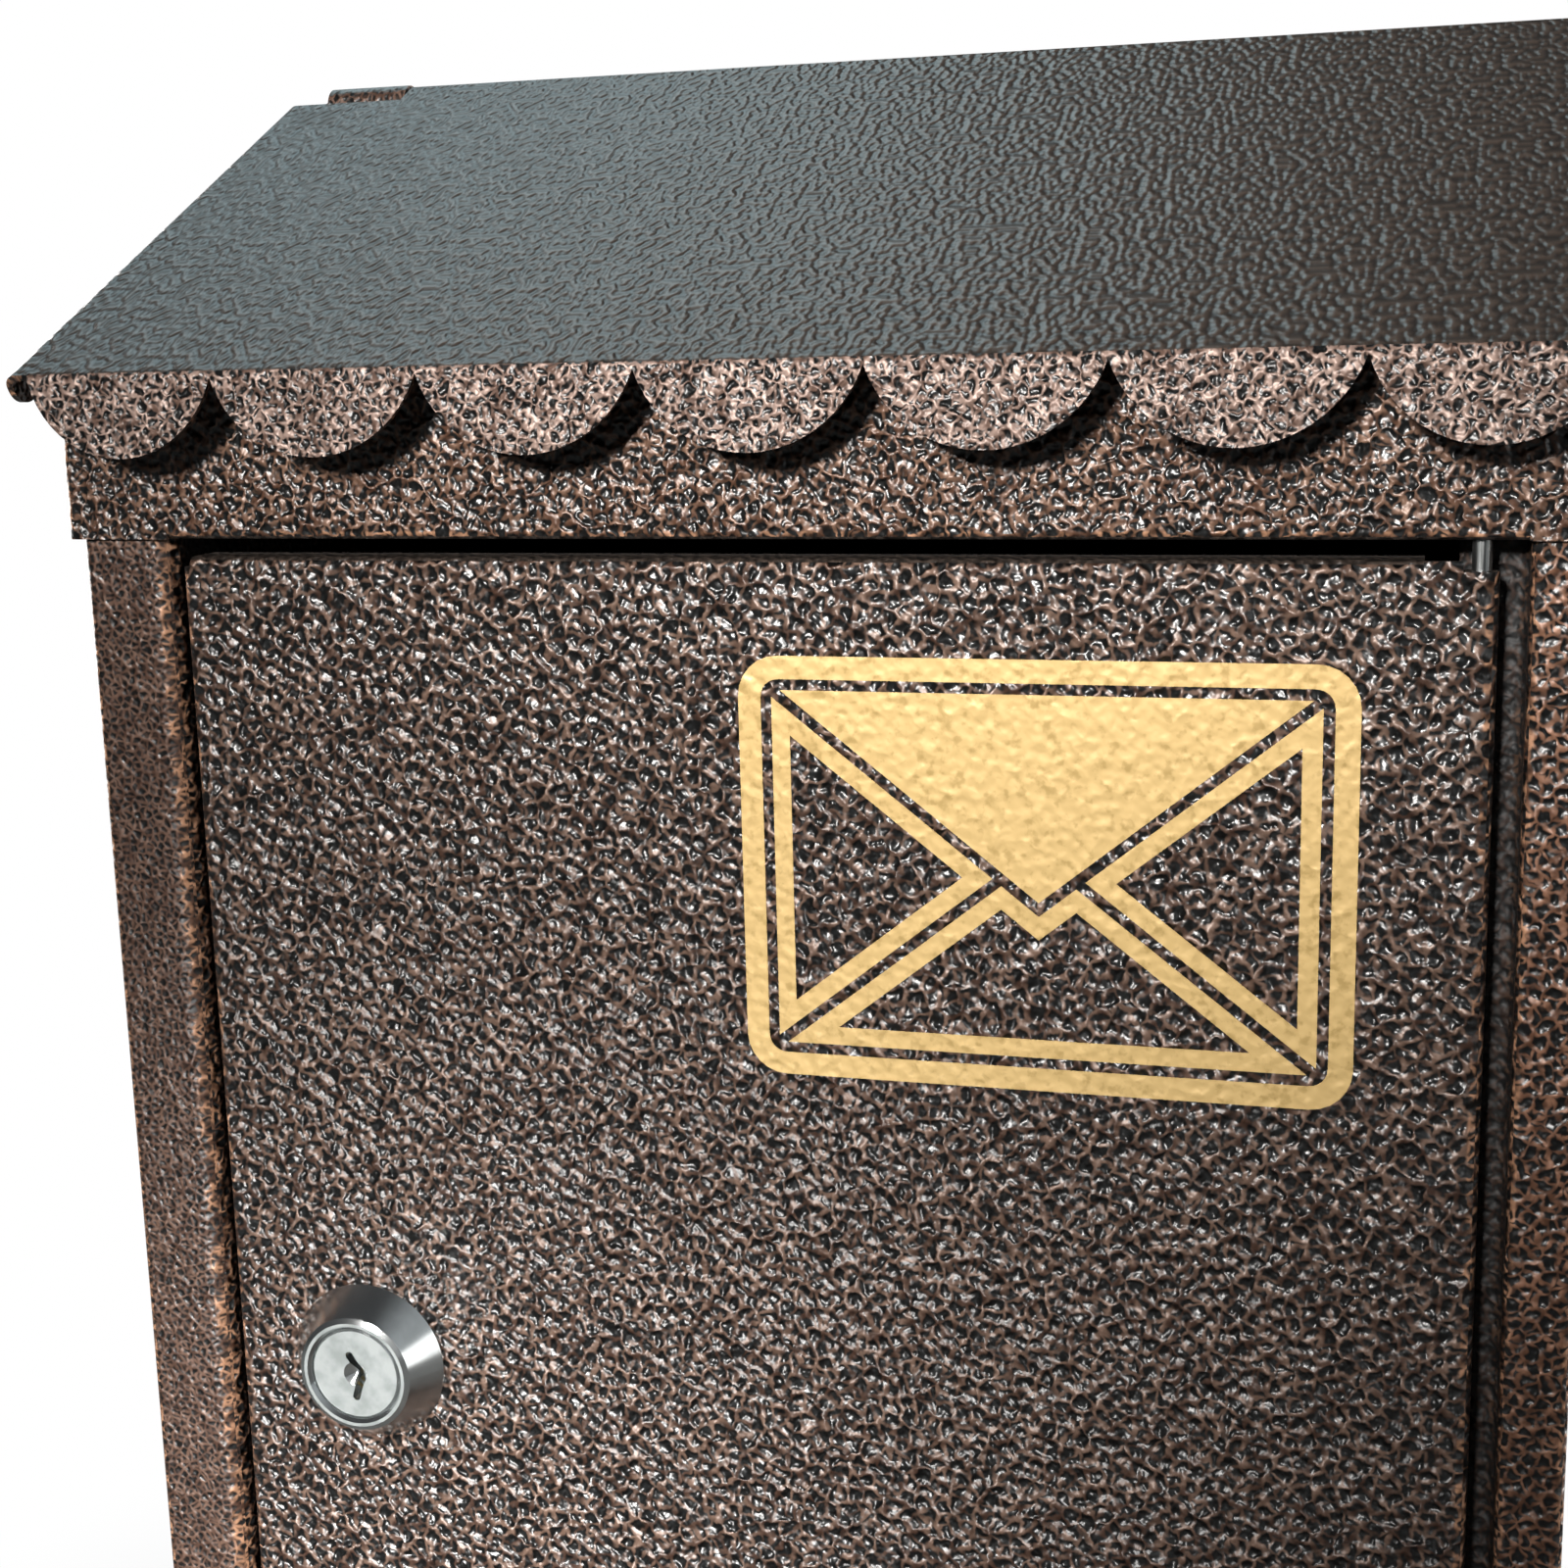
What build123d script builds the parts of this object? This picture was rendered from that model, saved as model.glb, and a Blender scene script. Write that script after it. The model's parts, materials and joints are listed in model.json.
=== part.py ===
from math import cos, radians, sin, sqrt, tan
import os

from build123d import *

# Wall mounted sheet-steel mailbox. X to the right, Y towards the wall, Z up, millimetres.
# The origin is the centre of the wall screw pattern, on the wall face.

# Sheet and box
sheet = 1.0  # steel sheet
bend = 1.6  # outer radius of the folds
body_width = 225.4  # over the side walls
body_depth = 95.0  # front face to wall
base_drop = 176.0  # underside below the origin
eave_rise = 127.0  # front fold of the lid above the origin
seam = 0.3  # play between neighbouring sheets

# Wall screws
screw_across = 150.0
screw_down = 160.0
screw_hole = 6.0

# Front opening
left_jamb = 15.3  # width of the front face on the lock side
right_jamb = 9.3  # width of the front face on the hinge side
jamb_bend = 3.6  # outer radius of the wide fold beside the lock
left_return = 14.0  # depth of the fold behind the left jamb
stop_depth = 7.0  # depth of the door stop behind the right jamb
stop_width = 9.0
sill_height = 11.0
sill_return = 12.0

# Upper band
band_drop = 25.5  # lower edge below the lid's front fold
band_wing = 28.0  # length along the side walls
band_play = 0.9  # play between wing and side wall
band_return = 12.0  # lower fold, carries the door rod

# Lid
lid_slope = 26.3  # degrees
lid_overhang = 9.7  # scalloped edge in front of the body
lid_side_gap = 3.9  # from side wall to the inside of the lid's side flange
lid_bend = 2.0
lid_side_flange = 6.0
lid_clearance = 1.2  # above the rim of the box
lid_cut_back = 5.5  # from the rod to the edge of the lid beside the roll
scallop_count = 7
scallop_depth = 12.6
scallop_lean = 5.0  # degrees, lower edge outwards
scallop_web = 0.9  # left of the flange at each cusp
scallop_end = 4.2  # from the lid's side to the first scallop

# Lid hinge
lid_rod = 4.0
running_fit = 0.05  # radial clearance of a turning piece
knuckle_play = 0.4
knuckle_width = 15.6
knuckle_inset = 2.0  # from the left wall to the knuckle
knuckle_gap = 0.6  # beside the ends of the lid's roll

# Door
door_gap_left = 1.8
door_gap_right = 3.8
door_gap_top = 2.8
door_gap_bottom = 2.3
door_return = 11.0  # fold along the lock side
door_edge_return = 8.0  # folds along the top and the bottom
door_rod = 2.6
rod_end = 2.0  # rod past the sheet that holds it
roll_notch = 1.4  # roll shorter than the door at each end
fold_relief = 5.0  # end of the folds to the rolled edge

# Lock
lock_from_left = 23.9  # lock axis to the door's left edge
lock_height = -31.9  # lock axis above the origin
head_base = 26.2
head_face = 18.6
head_rise = 6.3
head_edge = 0.6  # upright lip round the base
rim_edge = 0.5  # bevel of the front rim
face_recess = 0.5
barrel = 18.8
barrel_flats = 16.0
barrel_length = 15.0  # behind the door's front face
plug_face = 15.4
plug_edge = 0.4  # bevel of the face
plug_core = 13.0
plug_step = 3.0
tail = 7.0  # square that drives the cam
key_height = 8.2  # keyway, end to end
key_width = 1.3
key_jog = 1.7  # sideways step to the keyway's middle
key_run = 1.6  # straight middle of the keyway
key_drop = 0.4  # middle of the keyway below the lock axis
key_depth = 12.0
key_guide = 4.0  # countersink in the face
key_guide_depth = 1.2
wafer_count = 5
wafer_thick = 0.9
wafer_pitch = 1.7
wafer_width = 7.0
wafer_start = 4.0  # first wafer behind the plug's face
wafer_play = 0.2  # round the key
nut_flats = 24.0
nut_height = 4.0
cam_thick = 2.0
cam_reach = 32.0
cam_width = 12.0
cam_hub = 16.0
cam_play = 0.3
washer_outer = 12.0
washer_thick = 1.0
cam_screw = 5.0
cam_screw_depth = 9.0
cam_screw_head = 8.6
cam_screw_rise = 3.0
cross_slot = 1.2
cross_depth = 1.5

# Places that follow from the sizes
half_body = body_width / 2
front = -body_depth
base = -base_drop
slope = radians(lid_slope)
lid_front = front - lid_overhang
half_lid = half_body + lid_side_gap + sheet
scallop_half = half_lid - scallop_end
knuckle_bore = lid_rod / 2 + knuckle_play
knuckle_outer = knuckle_bore + sheet
roll_bore = lid_rod / 2 + running_fit
roll_outer = roll_bore + sheet
hinge_y = -knuckle_outer
hinge_z = eave_rise + (hinge_y - lid_front) * tan(slope) - roll_outer / cos(slope)
lid_length = (hinge_y - lid_front) / cos(slope) - roll_outer * tan(slope)
knuckle_left = knuckle_inset - half_body
roll_left = knuckle_left + knuckle_width + knuckle_gap
ear_left = half_body - sheet
roll_right = ear_left - knuckle_gap
rim_drop = (sheet + lid_clearance) / cos(slope)
lean_out = scallop_depth * tan(radians(scallop_lean))
wall_height = hinge_z + roll_outer - base  # before the sloped rim is cut
fold_reach = 2 * bend

band_front = front - sheet
band_bottom = eave_rise - band_drop
half_band = half_body + band_play + sheet
left_opening = -half_body + left_jamb
right_opening = half_body - right_jamb
sill_top = base + sill_height

door_left = left_opening + door_gap_left
door_right = right_opening - door_gap_right
door_top = band_bottom - door_gap_top
door_bottom = sill_top + door_gap_bottom
door_roll_bore = door_rod / 2 + running_fit
door_roll = door_roll_bore + sheet
rod_x = door_right - door_roll
rod_y = front + door_roll
fold_end = rod_x - door_roll - fold_relief

lock_x = door_left + lock_from_left
lock_z = lock_height
barrel_back = front + barrel_length
cam_front = barrel_back + cam_play
cam_back = cam_front + cam_thick
plug_front = front - head_rise + face_recess
washer_back = cam_back + washer_thick

rod_hole = door_rod / 2 + running_fit
opening_width = right_opening - left_opening
opening_centre = (right_opening + left_opening) / 2
scallop_pitch = 2 * (half_lid - lid_bend) / scallop_count
inner_cusps = [lid_bend - half_lid + scallop_pitch * step for step in range(1, scallop_count)]
cusps = [-scallop_half, *inner_cusps, scallop_half]
core_bore = plug_core / 2 + running_fit
face_bore = plug_face / 2 + running_fit
wafer_places = [plug_front + wafer_start + wafer_pitch * step for step in range(wafer_count)]
wafer_height = sqrt(plug_core**2 - wafer_width**2) - seam
key_end = (key_height - key_width) / 2
key_span = key_jog + key_width  # width that the zig-zag takes

lid_plane = Plane(
    origin=(0, lid_front, eave_rise),
    x_dir=(1, 0, 0),
    z_dir=(0, -sin(slope), cos(slope)),
)
lid_section = Plane(
    origin=(0, lid_front, eave_rise),
    x_dir=(1, 0, 0),
    z_dir=(0, cos(slope), sin(slope)),
)
rim_plane = Plane(
    origin=(0, lid_front, eave_rise - rim_drop),
    x_dir=(1, 0, 0),
    z_dir=(0, -sin(slope), cos(slope)),
)
side_axis = Plane(origin=(0, hinge_y, hinge_z), x_dir=(0, 1, 0), z_dir=(1, 0, 0))
lock_section = Plane(origin=(lock_x, 0, lock_z), x_dir=(1, 0, 0), z_dir=(0, 0, 1))
lock_axis = Axis((lock_x, 0, lock_z), (0, 1, 0))


def lock_disc_plane(depth):
    # Plane square to the lock axis, facing the viewer, at a Y value
    return Plane(origin=(lock_x, depth, lock_z), x_dir=(1, 0, 0), z_dir=(0, -1, 0))


def finish(piece, name):
    piece.part.label = name
    export_step(piece.part, f"parts/{name}.step")


os.makedirs("parts", exist_ok=True)

# Back panel with a rolled hinge knuckle on the left
panel_top = hinge_z - roll_outer - knuckle_gap
with BuildPart() as back_panel:
    with BuildSketch(Plane.XZ):
        with Locations((0, (base + panel_top) / 2)):
            Rectangle(body_width, panel_top - base)
        with Locations((knuckle_left + knuckle_width / 2, (panel_top + hinge_z) / 2)):
            Rectangle(knuckle_width, hinge_z - panel_top)
        with GridLocations(screw_across, screw_down, 2, 2):
            Circle(screw_hole / 2, mode=Mode.SUBTRACT)
    extrude(amount=sheet)
    with BuildSketch(side_axis.offset(knuckle_left)):
        Circle(knuckle_outer)
        Circle(knuckle_bore, mode=Mode.SUBTRACT)
    extrude(amount=knuckle_width)
finish(back_panel, "back_panel")

# Rod through the knuckle, the lid's roll and the right wall
with BuildPart() as lid_hinge_rod:
    with BuildSketch(side_axis.offset(knuckle_left)):
        Circle(lid_rod / 2)
    extrude(amount=half_body - knuckle_left)
    chamfer(lid_hinge_rod.edges().filter_by(GeomType.CIRCLE), length=seam)
finish(lid_hinge_rod, "lid_hinge_rod")

# Left side wall, front jamb and deep return behind the lock
with BuildPart() as left_side:
    with BuildSketch(Plane.XY.offset(base + sheet)):
        with BuildLine():
            wall = FilletPolyline(
                (-half_body, -sheet),
                (-half_body, front),
                (left_opening, front),
                (left_opening, front + left_return),
                radius=(bend, jamb_bend),
            )
            offset(wall, amount=sheet, side=Side.LEFT)
        make_face()
    extrude(amount=wall_height)
    split(bisect_by=rim_plane, keep=Keep.BOTTOM)
finish(left_side, "left_side")

# Right side wall with an ear for the lid's rod, narrow jamb and the stop behind the door
with BuildPart() as right_side:
    with BuildSketch(Plane.XY.offset(base + sheet)):
        with BuildLine():
            wall = FilletPolyline(
                (half_body, -sheet),
                (half_body, front),
                (right_opening, front),
                (right_opening, front + stop_depth + sheet),
                (right_opening - stop_width, front + stop_depth + sheet),
                radius=bend,
            )
            offset(wall, amount=sheet, side=Side.RIGHT)
        make_face()
    extrude(amount=wall_height)
    split(bisect_by=rim_plane, keep=Keep.BOTTOM)
    with BuildSketch(side_axis.offset(ear_left)):
        Circle(knuckle_outer)
    extrude(amount=sheet)
    with BuildSketch(side_axis.offset(ear_left)):
        Circle(knuckle_bore)
    extrude(amount=sheet, mode=Mode.SUBTRACT)
    # The stop ends short of the folds above and below the door
    with BuildSketch(Plane.XZ.offset(-front)):
        for low, high in ((base, sill_top + seam), (band_bottom - seam, hinge_z)):
            with Locations((right_opening - stop_width / 2, (low + high) / 2)):
                Rectangle(stop_width, high - low)
    extrude(amount=-(stop_depth + bend + sheet), mode=Mode.SUBTRACT)
finish(right_side, "right_side")

# Floor with the sill under the door
with BuildPart() as floor_panel:
    with BuildSketch(Plane.XY.offset(base)):
        with BuildLine():
            FilletPolyline(
                (-half_body, -sheet),
                (-half_body, front),
                (half_body, front),
                (half_body, -sheet),
                radius=bend,
            )
            Line((half_body, -sheet), (-half_body, -sheet))
        make_face()
    extrude(amount=sheet)
    with BuildSketch(Plane.YZ.offset(left_opening + seam)):
        with BuildLine():
            sill = FilletPolyline(
                (front, base),
                (front, sill_top),
                (front + sill_return, sill_top),
                radius=bend,
            )
            offset(sill, amount=sheet, side=Side.RIGHT)
        make_face()
    extrude(amount=opening_width - 2 * seam)
    with Locations((rod_x, rod_y, sill_top)):
        Hole(rod_hole, depth=2 * sheet)
finish(floor_panel, "floor_panel")

# Band across the front, wrapped round both corners, with a hem above the door
with BuildPart() as front_band:
    with BuildSketch(Plane.XY.offset(band_bottom)):
        with BuildLine():
            wrap = FilletPolyline(
                (-half_band, band_front + band_wing),
                (-half_band, band_front),
                (half_band, band_front),
                (half_band, band_front + band_wing),
                radius=bend,
            )
            offset(wrap, amount=sheet, side=Side.LEFT)
        make_face()
    extrude(amount=hinge_z - band_bottom)
    split(bisect_by=rim_plane, keep=Keep.BOTTOM)
    with BuildSketch(Plane.XZ.offset(-front)):
        with Locations((opening_centre, band_bottom + bend / 2)):
            Rectangle(opening_width - 2 * seam, bend)
    extrude(amount=sheet, mode=Mode.SUBTRACT)
    with BuildSketch(Plane.YZ.offset(left_opening + seam)):
        with BuildLine():
            hem = FilletPolyline(
                (band_front, band_bottom + 2 * bend),
                (band_front, band_bottom),
                (band_front + band_return, band_bottom),
                radius=bend,
            )
            offset(hem, amount=sheet, side=Side.LEFT)
        make_face()
    extrude(amount=opening_width - 2 * seam)
    with Locations((rod_x, rod_y, band_bottom + sheet)):
        Hole(rod_hole, depth=2 * sheet)
finish(front_band, "front_band")

# Lid: folded sides, scalloped front edge and a rolled back edge
with BuildPart() as lid:
    with BuildSketch(lid_section):
        with BuildLine():
            roof = FilletPolyline(
                (-half_lid, lid_side_flange),
                (-half_lid, 0),
                (half_lid, 0),
                (half_lid, lid_side_flange),
                radius=lid_bend,
            )
            offset(roof, amount=sheet, side=Side.LEFT)
        make_face()
    extrude(amount=lid_length)
    flange_corners = lid.edges().filter_by(Axis.X).group_by(Axis.Z)[0]
    fillet(flange_corners, radius=lid_side_flange - lid_bend - seam)
    # The front fold replaces the plain edge between the ends of the flange
    with BuildSketch(lid_plane):
        Rectangle(2 * scallop_half, fold_reach, align=(Align.CENTER, Align.MIN))
    extrude(amount=-sheet, mode=Mode.SUBTRACT)
    with BuildSketch(Plane.YZ.offset(-scallop_half)):
        with BuildLine():
            eave = FilletPolyline(
                (lid_front + fold_reach * cos(slope), eave_rise + fold_reach * sin(slope)),
                (lid_front, eave_rise),
                (lid_front - lean_out, eave_rise - scallop_depth),
                radius=bend,
            )
            offset(eave, amount=sheet, side=Side.LEFT)
        make_face()
    extrude(amount=2 * scallop_half)
    # Everything below the row of arcs is cut away
    with BuildSketch(Plane.XZ.offset(lean_out - lid_front)):
        with BuildLine():
            Polyline(
                (scallop_half, eave_rise - scallop_web),
                (scallop_half, eave_rise - scallop_depth - bend),
                (-scallop_half, eave_rise - scallop_depth - bend),
                (-scallop_half, eave_rise - scallop_web),
            )
            for left, right in zip(cusps, cusps[1:]):
                ThreePointArc(
                    (left, eave_rise - scallop_web),
                    ((left + right) / 2, eave_rise - scallop_depth),
                    (right, eave_rise - scallop_web),
                )
        make_face()
    extrude(amount=-(lean_out + sheet + seam), mode=Mode.SUBTRACT)
    with BuildSketch(lid_plane):
        for inner, outer in ((roll_left, -half_lid), (roll_right, half_lid)):
            with Locations(((inner + outer) / 2, lid_length)):
                Rectangle(abs(outer - inner), 2 * lid_cut_back)
    extrude(amount=-lid_side_flange, mode=Mode.SUBTRACT)
    with BuildSketch(side_axis.offset(roll_left)):
        Circle(roll_outer)
    extrude(amount=roll_right - roll_left)
    with BuildSketch(side_axis.offset(-half_lid)):
        Circle(roll_bore)
    extrude(amount=2 * half_lid, mode=Mode.SUBTRACT)
finish(lid, "lid")

# Door: folded on three edges, rolled round its rod on the fourth
with BuildPart() as door:
    with BuildSketch(Plane.YZ.offset(door_left + bend)):
        with BuildLine():
            face_fold = FilletPolyline(
                (front + door_edge_return, door_top),
                (front, door_top),
                (front, door_bottom),
                (front + door_edge_return, door_bottom),
                radius=bend,
            )
            offset(face_fold, amount=sheet, side=Side.LEFT)
        make_face()
    extrude(amount=fold_end - door_left - bend)
    with BuildSketch(Plane.XY.offset(door_bottom + bend)):
        with BuildLine():
            side_fold = FilletPolyline(
                (door_left, front + door_return),
                (door_left, front),
                (door_left + 2 * bend, front),
                radius=bend,
            )
            offset(side_fold, amount=sheet, side=Side.LEFT)
        make_face()
    extrude(amount=door_top - door_bottom - 2 * bend)
    with BuildSketch(Plane.XY.offset(door_bottom)):
        with Locations((fold_end, front)):
            Rectangle(fold_relief, sheet, align=(Align.MIN, Align.MIN))
    extrude(amount=door_top - door_bottom)
    with BuildSketch(Plane.XY.offset(door_bottom + roll_notch)):
        with Locations((rod_x, front)):
            Rectangle(door_roll, sheet, align=(Align.MAX, Align.MIN))
        with Locations((rod_x, rod_y)):
            Circle(door_roll)
            Circle(door_roll_bore, mode=Mode.SUBTRACT)
    extrude(amount=door_top - door_bottom - 2 * roll_notch)
    with BuildSketch(lock_disc_plane(front + sheet)):
        Circle(barrel / 2 + running_fit)
        Rectangle(barrel_flats + 2 * running_fit, barrel, mode=Mode.INTERSECT)
    extrude(amount=sheet, mode=Mode.SUBTRACT)
finish(door, "door")

# Rod that the door turns on, held by the sill and the band
with BuildPart() as door_hinge_rod:
    with BuildSketch(Plane.XY.offset(sill_top - sheet - rod_end)):
        with Locations((rod_x, rod_y)):
            Circle(door_rod / 2)
    extrude(amount=band_bottom - sill_top + 2 * (sheet + rod_end))
finish(door_hinge_rod, "door_hinge_rod")

# Lock body: conical head in front of the door, flatted barrel behind it
with BuildPart() as lock_body:
    with BuildSketch(lock_section):
        with BuildLine():
            Polyline(
                (core_bore, barrel_back),
                (barrel / 2, barrel_back),
                (barrel / 2, front),
                (head_base / 2, front),
                (head_base / 2, front - head_edge),
                (head_face / 2, front - head_rise),
                (face_bore, front - head_rise),
                (face_bore, plug_front + plug_step),
                (core_bore, plug_front + plug_step),
                close=True,
            )
        make_face()
    revolve(axis=lock_axis)
    with BuildSketch(lock_disc_plane(barrel_back)):
        for end in (-1, 1):
            with Locations((end * (barrel + barrel_flats) / 4, 0)):
                Rectangle((barrel - barrel_flats) / 2, barrel)
    extrude(amount=barrel_length, mode=Mode.SUBTRACT)
    rim = lock_body.edges().filter_by(GeomType.CIRCLE).group_by(Axis.Y)[0]
    chamfer(rim, length=rim_edge)
finish(lock_body, "lock_body")

# Plug: countersunk keyway, slots for the wafers and the square that drives the cam
with BuildPart() as lock_plug:
    with BuildSketch(lock_section):
        with BuildLine():
            Polyline(
                (0, plug_front + key_guide_depth),
                (key_guide / 2, plug_front),
                (plug_face / 2, plug_front),
                (plug_face / 2, plug_front + plug_step - running_fit),
                (plug_core / 2, plug_front + plug_step - running_fit),
                (plug_core / 2, barrel_back),
                (0, barrel_back),
                close=True,
            )
        make_face()
    revolve(axis=lock_axis)
    face_edges = lock_plug.edges().filter_by(GeomType.CIRCLE).group_by(Axis.Y)[0]
    chamfer(face_edges.sort_by(SortBy.RADIUS)[-1], length=plug_edge)
    with BuildSketch(lock_disc_plane(cam_back - cam_play)):
        Rectangle(tail, tail)
    extrude(amount=cam_back - cam_play - barrel_back)
    with BuildSketch(lock_disc_plane(cam_back)):
        Circle(cam_screw / 2 + running_fit)
    extrude(amount=cam_screw_depth, mode=Mode.SUBTRACT)
    with BuildSketch(lock_disc_plane(plug_front)):
        with BuildLine():
            keyway = FilletPolyline(
                (-key_jog / 2, key_end - key_drop),
                (key_jog / 2, key_run / 2 - key_drop),
                (key_jog / 2, -key_run / 2 - key_drop),
                (0, -key_end - key_drop),
                radius=key_width,
            )
            offset(keyway, amount=key_width / 2, side=Side.BOTH)
        make_face()
    extrude(amount=-key_depth, mode=Mode.SUBTRACT)
    for place in wafer_places:
        with BuildSketch(lock_disc_plane(place + wafer_thick + running_fit)):
            Rectangle(wafer_width + 2 * running_fit, plug_core)
        extrude(amount=wafer_thick + 2 * running_fit, mode=Mode.SUBTRACT)
finish(lock_plug, "lock_plug")

# Wafers, one behind the other, with the key's window through each
for number, place in enumerate(wafer_places, start=1):
    with BuildPart() as wafer:
        with BuildSketch(lock_disc_plane(place + wafer_thick)):
            Rectangle(wafer_width, wafer_height)
            with Locations((0, -key_drop)):
                Rectangle(key_span + wafer_play, key_height + wafer_play, mode=Mode.SUBTRACT)
        extrude(amount=wafer_thick)
    finish(wafer, f"lock_wafer_{number}")

# Nut that clamps the lock body to the door
with BuildPart() as lock_nut:
    with BuildSketch(lock_disc_plane(front + sheet + nut_height)):
        RegularPolygon(nut_flats / 2, 6, major_radius=False)
        Circle(barrel / 2 + running_fit, mode=Mode.SUBTRACT)
    extrude(amount=nut_height)
finish(lock_nut, "lock_nut")

# Cam that swings behind the left jamb
with BuildPart() as lock_cam:
    with BuildSketch(lock_disc_plane(cam_back)):
        Circle(cam_hub / 2)
        with Locations((0, -(cam_reach - cam_width / 2) / 2)):
            Rectangle(cam_width, cam_reach - cam_width / 2)
        with Locations((0, -(cam_reach - cam_width / 2))):
            Circle(cam_width / 2)
        Rectangle(tail + 2 * running_fit, tail + 2 * running_fit, mode=Mode.SUBTRACT)
    extrude(amount=cam_thick)
finish(lock_cam, "lock_cam")

# Washer and screw that hold the cam
with BuildPart() as cam_washer:
    with BuildSketch(lock_disc_plane(washer_back)):
        Circle(washer_outer / 2)
        Circle(cam_screw / 2 + running_fit, mode=Mode.SUBTRACT)
    extrude(amount=washer_thick)
finish(cam_washer, "cam_washer")

with BuildPart() as cam_bolt:
    with BuildSketch(lock_disc_plane(washer_back + cam_screw_rise)):
        Circle(cam_screw_head / 2)
    extrude(amount=cam_screw_rise)
    with BuildSketch(lock_disc_plane(washer_back)):
        Circle(cam_screw / 2)
    extrude(amount=cam_screw_depth)
    with BuildSketch(lock_disc_plane(washer_back + cam_screw_rise)):
        for turn in (0, 90):
            Rectangle(cam_screw, cross_slot, rotation=turn)
    extrude(amount=cross_depth, mode=Mode.SUBTRACT)
finish(cam_bolt, "cam_screw")
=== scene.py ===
import json
import math
import bpy
import bmesh
from mathutils import Matrix, Vector


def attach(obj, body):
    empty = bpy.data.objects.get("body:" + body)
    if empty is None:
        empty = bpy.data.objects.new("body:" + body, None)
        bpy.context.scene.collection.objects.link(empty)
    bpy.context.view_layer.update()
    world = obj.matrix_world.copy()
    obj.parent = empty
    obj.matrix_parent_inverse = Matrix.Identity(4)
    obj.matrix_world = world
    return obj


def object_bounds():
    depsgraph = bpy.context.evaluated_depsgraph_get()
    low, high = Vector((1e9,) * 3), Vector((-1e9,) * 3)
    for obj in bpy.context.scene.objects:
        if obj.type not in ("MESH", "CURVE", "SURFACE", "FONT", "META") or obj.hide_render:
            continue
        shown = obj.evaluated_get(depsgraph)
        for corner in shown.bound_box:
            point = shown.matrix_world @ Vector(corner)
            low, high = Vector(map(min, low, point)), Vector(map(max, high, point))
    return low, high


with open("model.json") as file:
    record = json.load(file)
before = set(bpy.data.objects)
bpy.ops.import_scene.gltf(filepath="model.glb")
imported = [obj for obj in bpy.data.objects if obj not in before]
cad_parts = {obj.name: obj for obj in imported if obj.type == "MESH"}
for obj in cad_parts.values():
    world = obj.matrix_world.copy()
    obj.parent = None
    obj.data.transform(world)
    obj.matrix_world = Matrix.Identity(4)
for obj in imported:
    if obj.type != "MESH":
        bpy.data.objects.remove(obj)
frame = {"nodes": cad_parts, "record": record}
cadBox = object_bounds()
scene = bpy.context.scene
scene.view_settings.view_transform = "Standard"
joints = {row["name"]: row for row in frame["record"]["behaviour"]["joints"]}
lockPlace = joints["lock_turn"]["pos_m"]  # where the lock's axis meets the front of the door
print("frame loaded:", len(frame["nodes"]), "sheet, rod and lock pieces")

# camera at the height of the eave, a little to the right, looking down at the door
cameraSet = {
    "place": (0.094126, -0.406926, 0.130870),
    "azimuth": 16.6237,
    "elevation": 11.2794,
    "roll": -1.4848,
    "lens": 52.31,
    "sensor": 36,
    "near": 0.01,
}


def placeCamera(s):
    data = bpy.data.cameras.new("mailboxCamera")
    data.lens = s["lens"]
    data.sensor_width = s["sensor"]
    data.clip_start = s["near"]
    camera = bpy.data.objects.new("mailboxCamera", data)
    turn = (Matrix.Rotation(math.radians(s["azimuth"]), 4, "Z")
            @ Matrix.Rotation(math.radians(90 - s["elevation"]), 4, "X")
            @ Matrix.Rotation(math.radians(s["roll"]), 4, "Z"))
    camera.matrix_world = Matrix.Translation(s["place"]) @ turn
    scene.collection.objects.link(camera)
    scene.camera = camera


placeCamera(cameraSet)
print("camera placed")

# soft boxes, some behind a grid that narrows their spread
lightSet = {
    "key": {"place": (-0.14, -1.14, 0.50), "aim": (0.012, -0.10, 0.180), "size": (0.16, 0.16),
            "watts": 0.69, "spread": 24, "colour": (1.0, 0.97, 0.94)},
    "lowLeft": {"place": (-0.12, -0.80, -0.04), "aim": (-0.065, -0.09, -0.075), "size": (0.14, 0.07),
                "watts": 0.205, "spread": 21, "colour": (1.0, 0.98, 0.96)},
    "lidBack": {"place": (-0.62, 0.70, 1.20), "aim": (-0.05, -0.05, 0.15), "size": (0.95, 0.80),
                "watts": 5.9, "spread": 180, "colour": (0.70, 0.93, 1.0)},
    "lockSide": {"place": (1.25, -0.25, 0.10), "aim": (-0.07, -0.09, -0.03), "size": (0.60, 0.60),
                 "watts": 1.5, "spread": 180, "colour": (1.0, 0.99, 0.97)},
    "backLeft": {"place": (-1.30, 0.75, 0.20), "aim": (0.0, -0.03, 0.0), "size": (0.80, 0.80),
                 "watts": 4.2, "spread": 60, "colour": (1.0, 0.99, 0.97)},
    "backRight": {"place": (1.30, 0.75, 0.20), "aim": (0.0, -0.03, 0.0), "size": (0.80, 0.80),
                  "watts": 4.2, "spread": 60, "colour": (1.0, 0.99, 0.97)},
}


def hangLight(name, s):
    data = bpy.data.lights.new(name, "AREA")
    data.shape = "RECTANGLE"
    data.size, data.size_y = s["size"]
    data.energy = s["watts"]
    data.spread = math.radians(s["spread"])
    data.color = s["colour"]
    lamp = bpy.data.objects.new(name, data)
    lamp.location = s["place"]
    look = Vector(s["aim"]) - Vector(s["place"])
    lamp.rotation_euler = look.to_track_quat("-Z", "Y").to_euler()
    scene.collection.objects.link(lamp)


for name, values in lightSet.items():
    hangLight(name, values)
print("lights hung:", ", ".join(lightSet))


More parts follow.
